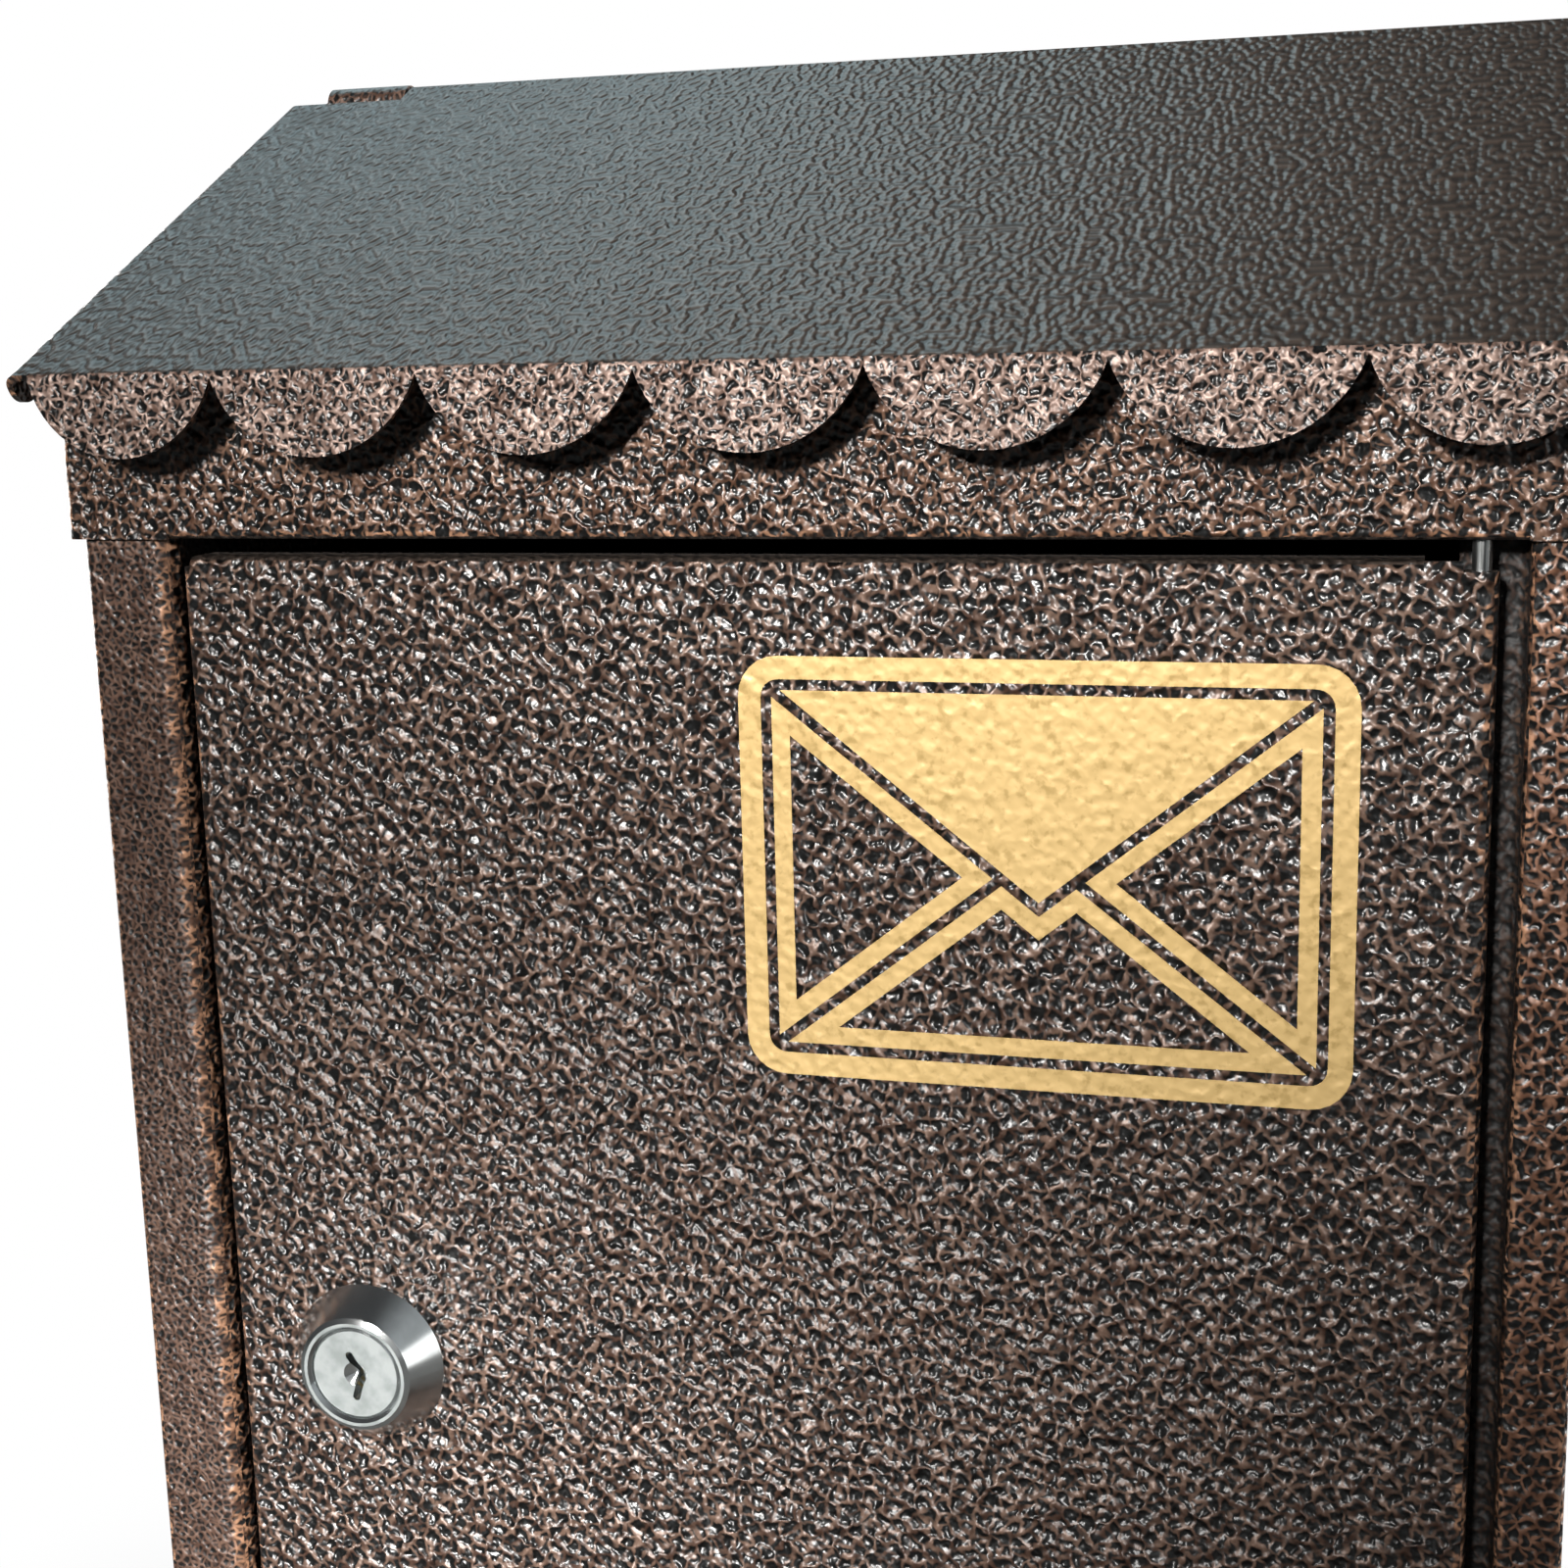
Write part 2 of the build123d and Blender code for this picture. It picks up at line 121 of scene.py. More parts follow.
# small helpers for node trees
def plug(tree, value, socket):
    if isinstance(value, bpy.types.NodeSocket):
        tree.links.new(value, socket)
    else:
        socket.default_value = value


def addNode(tree, kind, links=None, **settings):
    node = tree.nodes.new(kind)
    for key, value in settings.items():
        setattr(node, key, value)
    for key, value in (links or {}).items():
        plug(tree, value, node.inputs[key])
    return node


def calc(tree, operation, first, second=0.0, third=0.0):
    return addNode(tree, "ShaderNodeMath", {0: first, 1: second, 2: third}, operation=operation).outputs[0]


def times(tree, first, second):
    return calc(tree, "MULTIPLY", first, second)


def shift(tree, operation, first, links):
    return addNode(tree, "ShaderNodeVectorMath", {0: first, **links}, operation=operation).outputs[0]


def split(tree, vector):
    return addNode(tree, "ShaderNodeSeparateXYZ", {0: vector}).outputs


def ramp(tree, value, low, high, toLow=0.0, toHigh=1.0):
    return addNode(tree, "ShaderNodeMapRange",
                   {"Value": value, "From Min": low, "From Max": high, "To Min": toLow, "To Max": toHigh},
                   interpolation_type="SMOOTHSTEP").outputs["Result"]


def mixValue(tree, factor, first, second):
    return addNode(tree, "ShaderNodeMix", {"Factor": factor, 2: first, 3: second}).outputs[0]


def mixColour(tree, factor, first, second):
    return addNode(tree, "ShaderNodeMix", {"Factor": factor, 6: first, 7: second},
                   data_type="RGBA").outputs[2]


def noise(tree, place, scale, detail=1.0):
    return addNode(tree, "ShaderNodeTexNoise",
                   {"Vector": place, "Scale": scale, "Detail": detail}).outputs["Fac"]


def newMaterial(name):
    material = bpy.data.materials.new(name)
    material.use_nodes = True
    tree = material.node_tree
    return material, tree, tree.nodes["Principled BSDF"]


def objectPlace(tree):
    return addNode(tree, "ShaderNodeTexCoord").outputs["Object"]


def relief(tree, shader, height, distance):
    bump = addNode(tree, "ShaderNodeBump", {"Height": height, "Distance": distance, "Strength": 1.0})
    tree.links.new(bump.outputs[0], shader.inputs["Normal"])


def mirroredRay(tree, path):
    return calc(tree, "MAXIMUM", path["Is Glossy Ray"], path["Is Transmission Ray"])


# white studio: the backdrop behind is white, the room in front and above is dim
worldSet = {
    "room": (0.05, 0.052, 0.054, 1),
    "rightWall": (0.34, 0.36, 0.37, 1),  # shows in reflections only
    "wallReach": 0.9,
    "backdrop": (1, 1, 1, 1),
    "backdropTop": (0.10, 0.35),
    "backdropFront": (0.0, 0.4),
}


def buildWorld(s):
    world = bpy.data.worlds.new("studio")
    scene.world = world
    world.use_nodes = True
    tree = world.node_tree
    tree.nodes.clear()
    path = addNode(tree, "ShaderNodeLightPath").outputs
    way = split(tree, addNode(tree, "ShaderNodeTexCoord").outputs["Generated"])
    low = ramp(tree, way["Z"], *s["backdropTop"], 1.0, 0.0)
    behind = ramp(tree, way["Y"], *s["backdropFront"])
    mirrored = times(tree, mirroredRay(tree, path), times(tree, low, behind))
    white = calc(tree, "MAXIMUM", path["Is Camera Ray"], mirrored)
    right = times(tree, ramp(tree, way["X"], 0.0, s["wallReach"]), path["Is Glossy Ray"])
    room = mixColour(tree, right, s["room"], s["rightWall"])
    shade = addNode(tree, "ShaderNodeBackground", {"Color": mixColour(tree, white, room, s["backdrop"])})
    out = addNode(tree, "ShaderNodeOutputWorld")
    tree.links.new(shade.outputs[0], out.inputs["Surface"])


buildWorld(worldSet)

floorSet = {
    "size": 8.0,
    "seen": (0.80, 0.80, 0.80, 1),
    "lit": (0.28, 0.27, 0.26, 1),  # what the floor throws back on the box
    "roughness": 0.9,
    "shadow": (0.01, 0.16),  # the shadow stays this near the box
    "shadowWhite": 0.62,
    "mirrorReach": 0.3,
}


def layFloor(s):
    bm = bmesh.new()
    bmesh.ops.create_grid(bm, x_segments=1, y_segments=1, size=s["size"] / 2)
    bmesh.ops.translate(bm, verts=bm.verts, vec=(0, 0, cadBox[0][2]))
    mesh = bpy.data.meshes.new("studioFloor")
    bm.to_mesh(mesh)
    bm.free()
    floor = bpy.data.objects.new("studioFloor", mesh)
    scene.collection.objects.link(floor)
    material, tree, shader = newMaterial("paleFloor")
    path = addNode(tree, "ShaderNodeLightPath").outputs
    colour = mixColour(tree, path["Is Camera Ray"], s["lit"], s["seen"])
    tree.links.new(colour, shader.inputs["Base Color"])
    shader.inputs["Roughness"].default_value = s["roughness"]
    place = split(tree, objectPlace(tree))
    squares = []
    for number, axis in enumerate("XY"):  # how far out of the box's footprint
        low, high = cadBox[0][number], cadBox[1][number]
        out = calc(tree, "ABSOLUTE", calc(tree, "SUBTRACT", place[axis], (low + high) / 2))
        out = calc(tree, "MAXIMUM", calc(tree, "SUBTRACT", out, (high - low) / 2), 0.0)
        squares.append(times(tree, out, out))
    reach = calc(tree, "SQRT", calc(tree, "ADD", *squares))
    away = ramp(tree, reach, *s["shadow"], s["shadowWhite"], 1.0)
    mirrored = times(tree, mirroredRay(tree, path), ramp(tree, place["Y"], 0.0, s["mirrorReach"]))
    seen = calc(tree, "MAXIMUM", times(tree, path["Is Camera Ray"], away), mirrored)
    white = addNode(tree, "ShaderNodeEmission", {"Color": (1, 1, 1, 1), "Strength": 1.0})
    mix = addNode(tree, "ShaderNodeMixShader", {0: seen})
    tree.links.new(shader.outputs[0], mix.inputs[1])
    tree.links.new(white.outputs[0], mix.inputs[2])
    tree.links.new(mix.outputs[0], tree.nodes["Material Output"].inputs["Surface"])
    mesh.materials.append(material)


layFloor(floorSet)
print("studio built")

# hammered lacquer: a raised net of copper flake round dark hollows, and small dents on the lid; the colour
# also holds painted light and shade: lighter hollow middles, paler bends, darker dents and a darker inside
# of the box
grainSet = {
    "turn": 0.6,  # pattern off the sheet's own edges
    "lift": 0.0137,  # which slice of the noise is used
    "flow": 600.0,  # noise that bends the cells
    "net": (0.32, 0.03),  # from a hollow to the edge of its cell
    "patches": 1.41,  # uneven spots, against the cells
    "tone": 460.0,
    "toneRange": (0.36, 0.66),
    "hollow": (0.06, 0.30),
    "netRise": 2.0,
    "patchRise": 1.6,
    "dents": 880.0,
    "dentStretch": 0.68,
    "dentRange": (0.84, 0.16),
    "dentPaintedShade": 0.75,
    "dentDrop": -1.2,
    "bend": (0.985, 0.93),  # rounded upright edges
    "bendFlat": 0.2,
    "under": (-0.10, -0.35),  # faces that look down
    "rimDrop": 0.0035,  # from the lid's hinge down to the inside of the box
    "insideDepth": (0.003, 0.006),  # in from the front of the door
    "insideEdge": 0.0012,  # in from the side walls
    "insideBack": -0.0004,  # in from the wall face
    "insidePaintedShade": 0.85,
    "insideRough": 0.6,
    "rough": 0.33,
    "copperRough": 0.12,
    "topRough": 0.04,
    "metal": 0.2,
}


def buildHammerGroup(s):
    tree = bpy.data.node_groups.new("hammeredLacquer", "ShaderNodeTree")
    face = tree.interface
    for name, kind, value in (
            ("Coordinates", "NodeSocketVector", None),
            ("Facing", "NodeSocketVector", None),
            ("Front", "NodeSocketFloat", -0.1),
            ("Half Width", "NodeSocketFloat", 0.1),
            ("Rim", "NodeSocketFloat", 1.0),
            ("Cells", "NodeSocketFloat", 500.0),
            ("Warp", "NodeSocketFloat", 0.0020),
            ("Vein Start", "NodeSocketFloat", 0.24),
            ("Vein Full", "NodeSocketFloat", 1.25),
            ("Vein Break", "NodeSocketFloat", 1.4),
            ("Net Height", "NodeSocketFloat", 1.0),
            ("Hollow Sheen Color", "NodeSocketColor", (0.008, 0.009, 0.0095, 1)),
            ("Dark Lacquer And Shade Color", "NodeSocketColor", (0.003, 0.003, 0.003, 1)),
            ("Copper Light", "NodeSocketColor", (0.29, 0.204, 0.166, 1)),
            ("Copper Deep", "NodeSocketColor", (0.075, 0.039, 0.026, 1)),
            ("Bend Sheen Color", "NodeSocketColor", (0.45, 0.24, 0.14, 1)),
            ("Top Color", "NodeSocketColor", (0.046, 0.034, 0.027, 1))):
        socket = face.new_socket(name=name, in_out="INPUT", socket_type=kind)
        if value is not None:
            socket.default_value = value
    for name, kind in (("Color", "NodeSocketColor"), ("Roughness", "NodeSocketFloat"),
                       ("Metallic", "NodeSocketFloat"), ("Height", "NodeSocketFloat")):
        face.new_socket(name=name, in_out="OUTPUT", socket_type=kind)
    given = addNode(tree, "NodeGroupInput").outputs

    # which way a face looks, and whether it is inside the box, where shade is painted into the colour
    place = split(tree, given["Coordinates"])
    facing = split(tree, shift(tree, "ABSOLUTE", given["Facing"], {}))
    upright = calc(tree, "MAXIMUM", facing["X"], facing["Y"])
    side = calc(tree, "GREATER_THAN", facing["X"], calc(tree, "MAXIMUM", facing["Y"], facing["Z"]))
    top = calc(tree, "GREATER_THAN", facing["Z"], upright)
    bent = times(tree, ramp(tree, upright, *s["bend"]), calc(tree, "LESS_THAN", facing["Z"], s["bendFlat"]))
    down = split(tree, given["Facing"])["Z"]
    bent = calc(tree, "MAXIMUM", bent, ramp(tree, down, *s["under"]))
    innerWall = calc(tree, "SUBTRACT", given["Half Width"], s["insideEdge"])
    inside = calc(tree, "LESS_THAN", calc(tree, "ABSOLUTE", place["X"]), innerWall)
    inside = times(tree, inside, calc(tree, "LESS_THAN", place["Z"], given["Rim"]))
    inside = times(tree, inside, calc(tree, "LESS_THAN", place["Y"], s["insideBack"]))
    depth = calc(tree, "SUBTRACT", place["Y"], given["Front"])
    inside = times(tree, inside, ramp(tree, depth, *s["insideDepth"]))

    # flat pattern on the side that each face looks to
    across = mixValue(tree, side, place["X"], place["Y"])
    along = mixValue(tree, top, place["Z"], place["Y"])
    flat = addNode(tree, "ShaderNodeCombineXYZ", {0: across, 1: along, 2: 0.0}).outputs[0]
    flat = addNode(tree, "ShaderNodeMapping", {
        "Vector": flat, "Location": (0, 0, s["lift"]), "Rotation": (0, 0, s["turn"])}).outputs[0]
    flow = addNode(tree, "ShaderNodeTexNoise", {"Vector": flat, "Scale": s["flow"], "Detail": 1.0})
    flow = shift(tree, "SUBTRACT", flow.outputs["Color"], {1: (0.5, 0.5, 0.5)})
    flow = shift(tree, "SCALE", flow, {"Scale": given["Warp"]})
    spot = shift(tree, "ADD", flat, {1: flow})
    wall = addNode(tree, "ShaderNodeTexVoronoi", {"Vector": spot, "Scale": given["Cells"]},
                   feature="DISTANCE_TO_EDGE", voronoi_dimensions="2D").outputs["Distance"]
    centre = addNode(tree, "ShaderNodeTexVoronoi",
                     {"Vector": spot, "Scale": given["Cells"], "Smoothness": 1.0},
                     feature="SMOOTH_F1", voronoi_dimensions="2D").outputs["Distance"]
    patch = noise(tree, flat, times(tree, given["Cells"], s["patches"]), 0.0)
    patch = calc(tree, "SUBTRACT", patch, 0.5)
    net = calc(tree, "MULTIPLY_ADD", patch, given["Vein Break"], ramp(tree, wall, *s["net"]))
    vein = ramp(tree, net, given["Vein Start"], given["Vein Full"])
    long = addNode(tree, "ShaderNodeCombineXYZ",
                   {0: across, 1: times(tree, along, s["dentStretch"]), 2: 0.0}).outputs[0]
    dent = ramp(tree, noise(tree, long, s["dents"], 0.0), *s["dentRange"])

    # colour
    tone = ramp(tree, noise(tree, flat, s["tone"]), *s["toneRange"])
    # painted sheen: rounded upright bends and faces that look down take a paler, more orange copper
    light = mixColour(tree, bent, given["Copper Light"], given["Bend Sheen Color"])
    copper = mixColour(tree, tone, given["Copper Deep"], light)
    # painted highlight and shade: each hollow is dark lacquer, a little lighter and bluer in its middle and
    # darkest at its rim
    colour = mixColour(tree, ramp(tree, centre, *s["hollow"]), given["Hollow Sheen Color"], given["Dark Lacquer And Shade Color"])
    colour = mixColour(tree, vein, colour, copper)
    # painted shade: faces inside the box, deeper than the front, are darkened toward near black
    colour = mixColour(tree, times(tree, inside, s["insidePaintedShade"]), colour, given["Dark Lacquer And Shade Color"])
    # painted shade: the lid's dents are darkened toward near black
    lid = mixColour(tree, times(tree, dent, s["dentPaintedShade"]), given["Top Color"], given["Dark Lacquer And Shade Color"])
    colour = mixColour(tree, top, colour, lid)

    # relief and gloss
    rise = times(tree, times(tree, centre, centre), s["netRise"])
    rise = times(tree, calc(tree, "MULTIPLY_ADD", patch, s["patchRise"], rise), given["Net Height"])
    height = mixValue(tree, top, rise, times(tree, dent, s["dentDrop"]))
    flake = times(tree, vein, calc(tree, "SUBTRACT", 1.0, top))
    rough = calc(tree, "MULTIPLY_ADD", calc(tree, "MAXIMUM", flake, bent), s["copperRough"], s["rough"])
    rough = calc(tree, "MULTIPLY_ADD", top, s["topRough"], rough)
    rough = calc(tree, "MAXIMUM", rough, times(tree, inside, s["insideRough"]))
    out = addNode(tree, "NodeGroupOutput")
    for name, value in (("Color", colour), ("Height", height), ("Roughness", rough),
                        ("Metallic", times(tree, flake, s["metal"]))):
        tree.links.new(value, out.inputs[name])
    return tree


hammerGroup = buildHammerGroup(grainSet)
boxHalf = max(vert.co.x for vert in frame["nodes"]["back_panel"].data.vertices)
boxRim = joints["lid_hinge"]["pos_m"][2] - grainSet["rimDrop"]


def hammer(tree, values):
    node = addNode(tree, "ShaderNodeGroup", node_tree=hammerGroup)
    spot = addNode(tree, "ShaderNodeTexCoord").outputs
    tree.links.new(spot["Object"], node.inputs["Coordinates"])
    tree.links.new(spot["Normal"], node.inputs["Facing"])
    for key, value in {"Front": lockPlace[1], "Half Width": boxHalf, "Rim": boxRim, **values}.items():
        node.inputs[key].default_value = value
    return node.outputs


# one lacquer, with its own grain and gloss on each pressed sheet; the copper colours also differ from sheet
# to sheet as painted light and shade, darkest on the left side, floor and back
coatSet = {
    "doorCoat": {
        "nodes": ("door",), "relief": 0.00058, "ior": 1.65, "group": {
            "Cells": 470.0, "Vein Start": 0.26,
            "Copper Light": (0.180, 0.112, 0.081, 1), "Copper Deep": (0.058, 0.028, 0.0175, 1)}},
    "bandCoat": {
        "nodes": ("front_band",), "relief": 0.00050, "ior": 1.62, "group": {
            "Cells": 560.0, "Warp": 0.0024, "Vein Break": 1.8,
            "Copper Light": (0.18, 0.102, 0.067, 1), "Copper Deep": (0.085, 0.039, 0.022, 1)}},
    "lidCoat": {
        "nodes": ("lid",), "relief": 0.00030, "ior": 1.42, "group": {
            "Front": 1.0, "Cells": 680.0, "Warp": 0.0024,
            "Vein Start": 0.02, "Vein Full": 1.2,
            "Copper Light": (0.29, 0.205, 0.170, 1), "Copper Deep": (0.105, 0.062, 0.046, 1)}},
    "leftCoat": {
        "nodes": ("left_side", "floor_panel", "back_panel"), "relief": 0.00014, "ior": 1.5,
        "sideNet": 3.6, "group": {
            "Cells": 800.0, "Warp": 0.001, "Vein Start": -0.2, "Vein Full": 1.2,
            "Copper Light": (0.14, 0.080, 0.056, 1), "Copper Deep": (0.075, 0.038, 0.025, 1)}},
    "rightCoat": {
        "nodes": ("right_side",), "relief": 0.00030, "ior": 1.5,
        "sideNet": 1.7, "group": {
            "Cells": 560.0,
            "Copper Light": (0.25, 0.125, 0.076, 1), "Copper Deep": (0.11, 0.05, 0.028, 1)}},
}
sideFacing = 0.8  # faces turned further sideways than this are side walls


def hammeredCoat(name, s):
    material, tree, shader = newMaterial(name)
    coat = hammer(tree, s["group"])
    look = {key: coat[key] for key in ("Color", "Roughness", "Metallic", "Height")}
    if "sideNet" in s:  # the broad side walls have the coarse grain of the band
        wall = hammer(tree, {**coatSet["bandCoat"]["group"], "Net Height": s["sideNet"]})
        facing = split(tree, addNode(tree, "ShaderNodeTexCoord").outputs["Normal"])
        side = calc(tree, "GREATER_THAN", calc(tree, "ABSOLUTE", facing["X"]), sideFacing)
        look["Color"] = mixColour(tree, side, coat["Color"], wall["Color"])
        for key in ("Roughness", "Metallic", "Height"):
            look[key] = mixValue(tree, side, coat[key], wall[key])
    for socket, output in (("Base Color", "Color"), ("Roughness", "Roughness"), ("Metallic", "Metallic")):
        tree.links.new(look[output], shader.inputs[socket])
    relief(tree, shader, look["Height"], s["relief"])
    shader.inputs["IOR"].default_value = s["ior"]
    return material


finishes = {}
for name, values in coatSet.items():
    coat = hammeredCoat(name, values)
    finishes.update({node: coat for node in values["nodes"]})
print("lacquer mixed:", ", ".join(coatSet))

# drawn steel rods: streaks along the rod
rodSet = {
    "light": (0.50, 0.52, 0.52, 1),
    "dark": (0.26, 0.27, 0.27, 1),
    "fine": 2600.0,
    "long": 40.0,
    "colourRange": (0.35, 0.65),
    "roughRange": (0.3, 0.7),
    "rough": (0.26, 0.42),
    "relief": 0.00001,
}


def drawnSteel(name, s, along):
    material, tree, shader = newMaterial(name)
    stretch = [s["long"] if axis == along else s["fine"] for axis in "XYZ"]
    place = addNode(tree, "ShaderNodeMapping", {"Vector": objectPlace(tree), "Scale": stretch})
    streak = noise(tree, place.outputs[0], 1.0, 3.0)
    colour = mixColour(tree, ramp(tree, streak, *s["colourRange"]), s["dark"], s["light"])
    tree.links.new(colour, shader.inputs["Base Color"])
    tree.links.new(ramp(tree, streak, *s["roughRange"], *s["rough"]), shader.inputs["Roughness"])
    relief(tree, shader, streak, s["relief"])
    shader.inputs["Metallic"].default_value = 1.0
    return material


finishes["lid_hinge_rod"] = drawnSteel("drawnSteelAcross", rodSet, "X")
finishes["door_hinge_rod"] = drawnSteel("drawnSteelUpright", rodSet, "Z")

# turned zinc lock: polished cone, satin face, fine tool rings, thread on the barrel; the faces square to
# the axis have painted shade
zincSet = {
    "bright": (0.82, 0.85, 0.85, 1),
    "faceShadeAndCloud": (0.215, 0.235, 0.232, 1),
    "flat": (0.90, 0.98),  # faces square to the lock's axis
    "rings": 5200.0,
    "cloud": 300.0,
    "cloudRange": (0.35, 0.7),
    "cloudGrey": 0.15,
    "cloudRough": 0.08,
    "polish": 0.14,
    "satin": 0.50,
    "relief": 0.000012,
    "threadPitch": 0.001,
    "threadDepth": 0.0005,
    "threadStart": 0.0015,
}


def turnedZinc(s):
    material, tree, shader = newMaterial("turnedZinc")
    spot = addNode(tree, "ShaderNodeTexCoord").outputs
    place = split(tree, shift(tree, "SUBTRACT", spot["Object"], {1: lockPlace}))
    radius = calc(tree, "MULTIPLY_ADD", place["X"], place["X"], calc(tree, "POWER", place["Z"], 2.0))
    radius = calc(tree, "SQRT", radius)
    flat = ramp(tree, calc(tree, "ABSOLUTE", split(tree, spot["Normal"])["Y"]), *s["flat"])
    rings = addNode(tree, "ShaderNodeTexNoise",
                    {"W": calc(tree, "ADD", radius, place["Y"]), "Scale": s["rings"], "Detail": 2.0},
                    noise_dimensions="1D").outputs["Fac"]
    cloud = noise(tree, spot["Object"], s["cloud"], 3.0)
    # painted shade: faces square to the lock's axis take the dark colour, with random cloud over all
    grey = times(tree, flat, 1.0 - s["cloudGrey"])
    grey = calc(tree, "MULTIPLY_ADD", ramp(tree, cloud, *s["cloudRange"]), s["cloudGrey"], grey)
    tree.links.new(mixColour(tree, grey, s["bright"], s["faceShadeAndCloud"]), shader.inputs["Base Color"])
    rough = ramp(tree, flat, 0.0, 1.0, s["polish"], s["satin"])
    tree.links.new(calc(tree, "MULTIPLY_ADD", cloud, s["cloudRough"], rough), shader.inputs["Roughness"])
    turn = calc(tree, "DIVIDE", calc(tree, "ARCTAN2", place["Z"], place["X"]), 2 * math.pi)
    thread = calc(tree, "ADD", calc(tree, "DIVIDE", place["Y"], s["threadPitch"]), turn)
    thread = calc(tree, "PINGPONG", thread, 0.5)
    behind = ramp(tree, place["Y"], s["threadStart"], 2 * s["threadStart"])
    behind = times(tree, behind, calc(tree, "SUBTRACT", 1.0, flat))
    thread = times(tree, times(tree, thread, behind), s["threadDepth"] / s["relief"])
    relief(tree, shader, calc(tree, "ADD", times(tree, rings, flat), thread), s["relief"])
    shader.inputs["Metallic"].default_value = 1.0
    return material


# zinc plate and stamped brass: cloudy colour and rolling streaks
sheetMetalSet = {
    "platedSteel": {"light": (0.66, 0.66, 0.62, 1), "dark": (0.46, 0.47, 0.45, 1),
                    "cloud": 260.0, "rough": (0.24, 0.42)},
    "stampedBrass": {"light": (0.78, 0.58, 0.27, 1), "dark": (0.58, 0.40, 0.16, 1),
                     "cloud": 420.0, "rough": (0.20, 0.38)},
}
rollingSet = {"streaks": (400.0, 400.0, 6000.0), "relief": 0.00001,
              "colourRange": (0.35, 0.68), "roughRange": (0.3, 0.7)}


def sheetMetal(name, s, rolling):
    material, tree, shader = newMaterial(name)
    place = objectPlace(tree)
    cloud = noise(tree, place, s["cloud"], 4.0)
    streak = addNode(tree, "ShaderNodeMapping", {"Vector": place, "Scale": rolling["streaks"]}).outputs[0]
    streak = noise(tree, streak, 1.0, 2.0)
    colour = mixColour(tree, ramp(tree, cloud, *rolling["colourRange"]), s["light"], s["dark"])
    tree.links.new(colour, shader.inputs["Base Color"])
    tree.links.new(ramp(tree, cloud, *rolling["roughRange"], *s["rough"]), shader.inputs["Roughness"])
    relief(tree, shader, streak, rolling["relief"])
    shader.inputs["Metallic"].default_value = 1.0
    return material


slotFinishes = {name: sheetMetal(finish, sheetMetalSet[finish], rollingSet)
                for name, finish in (("plated_steel", "platedSteel"), ("lock_brass", "stampedBrass"))}
slotFinishes["polished_zinc"] = turnedZinc(zincSet)
for row in frame["record"]["subparts"]:
    finishes.setdefault(row["node"], slotFinishes.get(row["material_slot"]))
for name, piece in frame["nodes"].items():
    piece.data.materials.clear()
    piece.data.materials.append(finishes[name])
print("finishes laid")

# gold print on the door: a plain envelope in a frame, as thin plates
emblemSet = {
    "middle": (0.0384, 0.0533),
    "size": (0.088, 0.063),
    "corner": 0.006,
    "cornerSteps": 6,
    "border": 0.0034,
    "stroke": 0.0027,  # outline of the folds under the flap
    "line": 0.0016,  # bare lacquer between the plates
    "flap": -0.0045,  # tip of the flap above the middle
    "fold": 0.0040,  # where the lower folds would meet
    "sink": 0.00002,
    "proud": 0.00012,
    "gold": (0.54, 0.375, 0.15, 1),
    "deep": (0.44, 0.30, 0.11, 1),
    "wear": 700.0,
    "wearRange": (0.52, 0.68),
    "rough": (0.52, 0.40),
    "metal": 0.2,
    "relief": 0.00010,
}
tiny = 1e-6  # metres, for points that should meet


def plate(width, height):
    bm = bmesh.new()
    bmesh.ops.create_grid(bm, x_segments=1, y_segments=1, size=0.5)
    bmesh.ops.scale(bm, vec=(width, height, 1), verts=bm.verts)
    return bm


def keepSide(bm, start, end, shiftLeft):
    # keeps what lies to the left of the line from start to end, moved left by shiftLeft
    along = (Vector(end) - Vector(start)).normalized()
    out = Vector((along.y, -along.x, 0))
    bmesh.ops.bisect_plane(bm, geom=bm.verts[:] + bm.edges[:] + bm.faces[:], dist=1e-7,
                           plane_co=Vector((*start, 0)) - out * shiftLeft, plane_no=out, clear_outer=True)


def outline(bm, stroke):
    rim = bmesh.ops.inset_region(bm, faces=bm.faces[:], thickness=stroke,
                                 use_boundary=True, use_even_offset=True)["faces"]
    bmesh.ops.delete(bm, geom=[face for face in bm.faces if face not in rim], context="FACES")


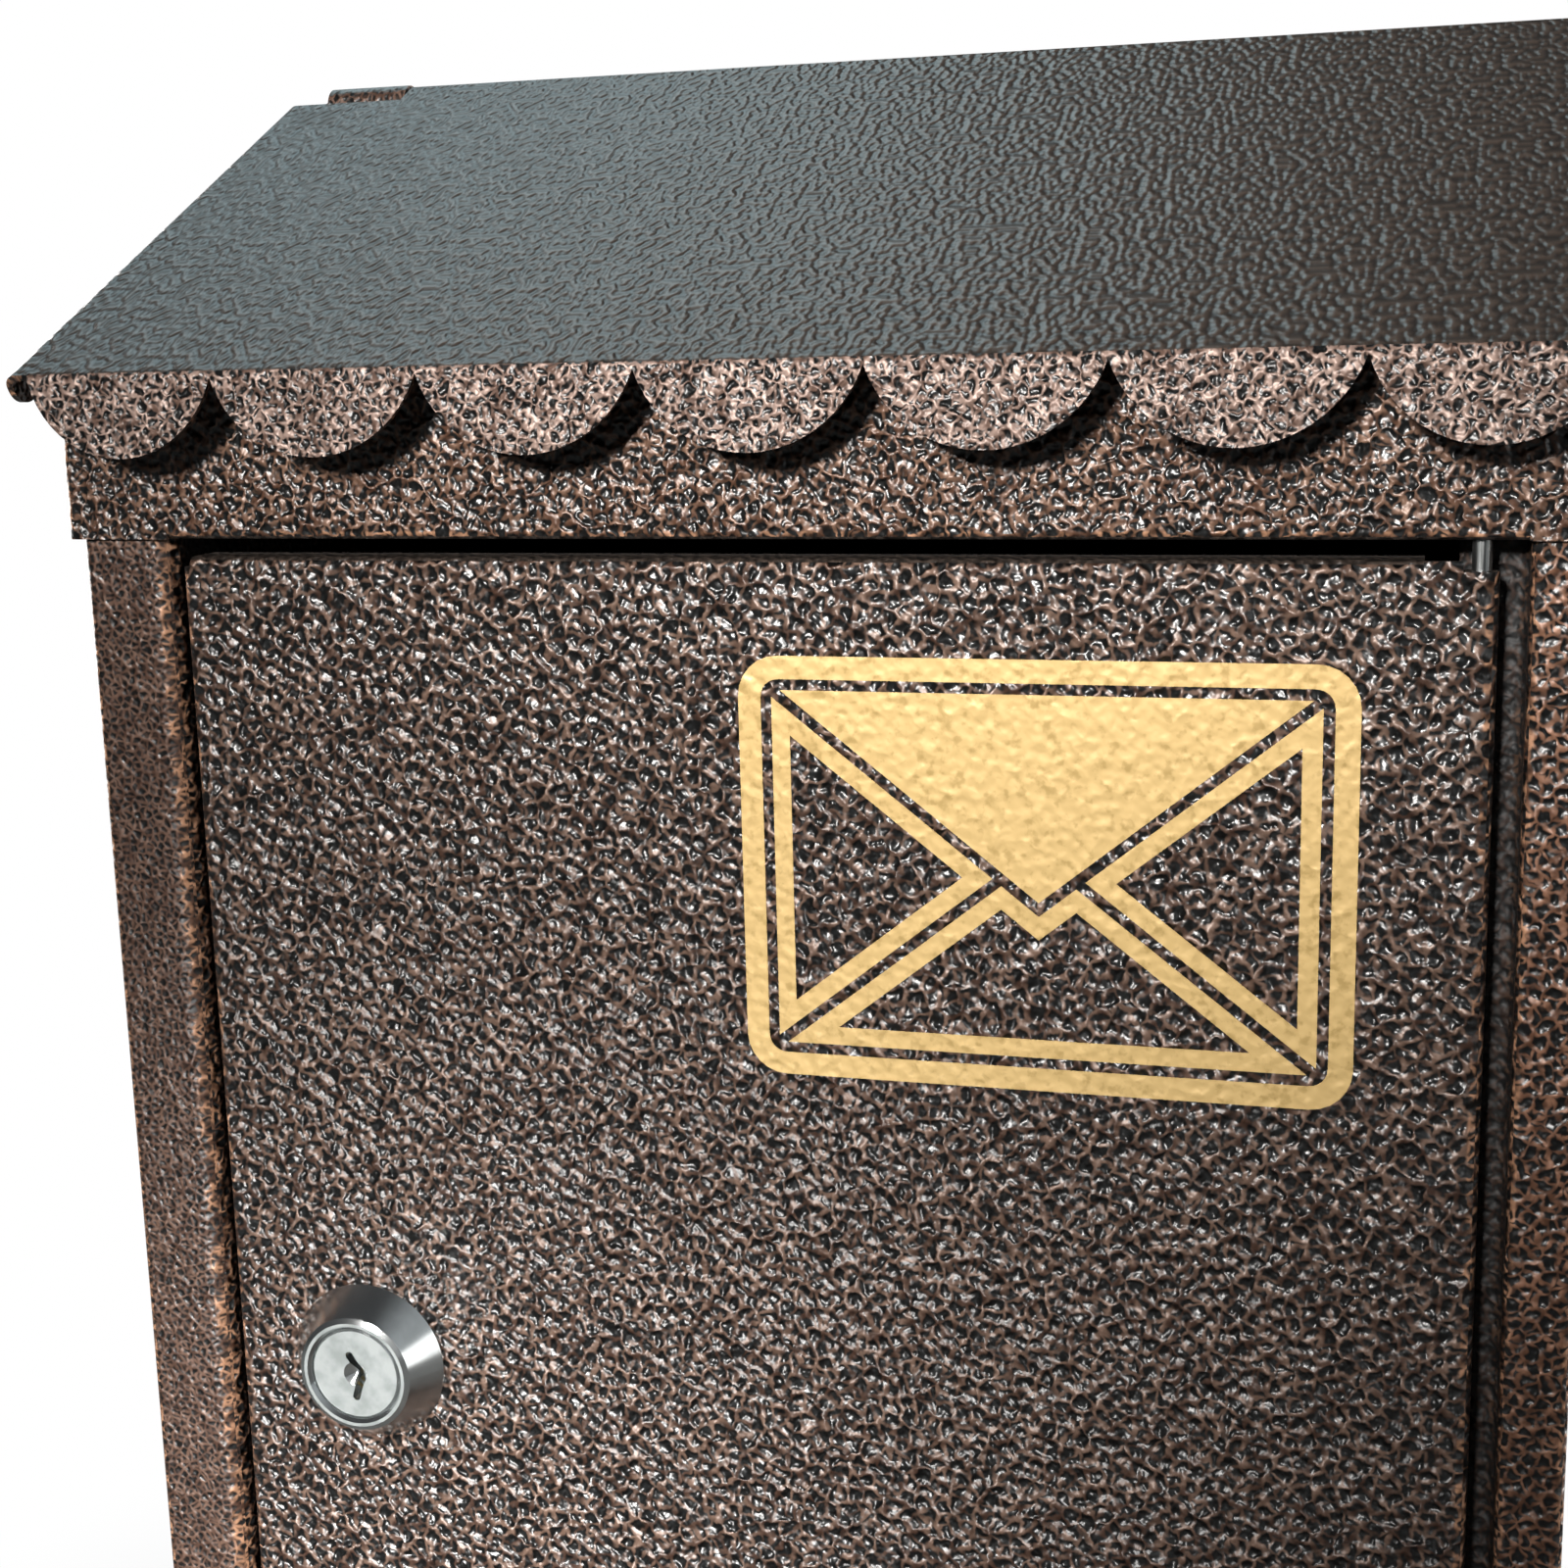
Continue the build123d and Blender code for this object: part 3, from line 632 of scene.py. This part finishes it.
def envelopePlates(s):
    inset = s["border"] + s["line"]
    width, height = s["size"][0] - 2 * inset, s["size"][1] - 2 * inset
    upper, lower = (-width / 2, height / 2), (-width / 2, -height / 2)
    tip, fold = (0, s["flap"]), (0, s["fold"])
    half = s["line"] / 2
    rim = plate(*s["size"])
    bmesh.ops.bevel(rim, geom=rim.verts[:], offset=s["corner"], offset_type="OFFSET", affect="VERTICES",
                    segments=s["cornerSteps"], profile=0.5, material=-1)
    outline(rim, s["border"])
    plates = [rim]
    for cuts, stroke in (
            (((upper, tip, half), (tip, (0, 1), 0)), None),  # flap
            (((tip, upper, half), (lower, fold, half)), s["stroke"]),  # side folds
            (((tip, upper, half), (fold, lower, half), ((0, -1), tip, 0)), s["stroke"])):  # lower fold
        bm = plate(width, height)
        for start, end, shiftLeft in cuts:
            keepSide(bm, start, end, shiftLeft)
        bmesh.ops.mirror(bm, geom=bm.verts[:] + bm.edges[:] + bm.faces[:], axis="X", merge_dist=tiny)
        seam = [edge for edge in bm.edges if max(abs(vert.co.x) for vert in edge.verts) < tiny]
        bmesh.ops.dissolve_edges(bm, edges=seam)
        bmesh.ops.recalc_face_normals(bm, faces=bm.faces[:])
        if stroke:
            outline(bm, stroke)
        plates.append(bm)
    return plates


def goldPrint(s):
    material, tree, shader = newMaterial("goldPrint")
    worn = ramp(tree, noise(tree, objectPlace(tree), s["wear"], 3.0), *s["wearRange"])
    tree.links.new(mixColour(tree, worn, s["gold"], s["deep"]), shader.inputs["Base Color"])
    tree.links.new(ramp(tree, worn, 0.0, 1.0, *s["rough"]), shader.inputs["Roughness"])
    coat = hammer(tree, coatSet["doorCoat"]["group"])  # the door's grain shows through
    relief(tree, shader, coat["Height"], s["relief"])
    shader.inputs["Metallic"].default_value = s["metal"]
    return material


def printEmblem(s):
    whole = bmesh.new()
    scrap = bpy.data.meshes.new("emblemScrap")
    for bm in envelopePlates(s):
        bm.to_mesh(scrap)
        bm.free()
        whole.from_mesh(scrap)
    bpy.data.meshes.remove(scrap)
    risen = bmesh.ops.extrude_face_region(whole, geom=whole.faces[:])["geom"]
    bmesh.ops.translate(whole, vec=(0, 0, s["proud"] + s["sink"]),
                        verts=[item for item in risen if isinstance(item, bmesh.types.BMVert)])
    bmesh.ops.recalc_face_normals(whole, faces=whole.faces[:])
    spot = (s["middle"][0], lockPlace[1] + s["sink"], s["middle"][1])
    stand = Matrix.Translation(spot) @ Matrix.Rotation(math.pi / 2, 4, "X")
    bmesh.ops.transform(whole, matrix=stand, verts=whole.verts[:])
    mesh = bpy.data.meshes.new("door_emblem")
    whole.to_mesh(mesh)
    whole.free()
    emblem = bpy.data.objects.new("door_emblem", mesh)
    scene.collection.objects.link(emblem)
    mesh.materials.append(goldPrint(s))
    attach(emblem, "door")


printEmblem(emblemSet)
print("emblem printed")
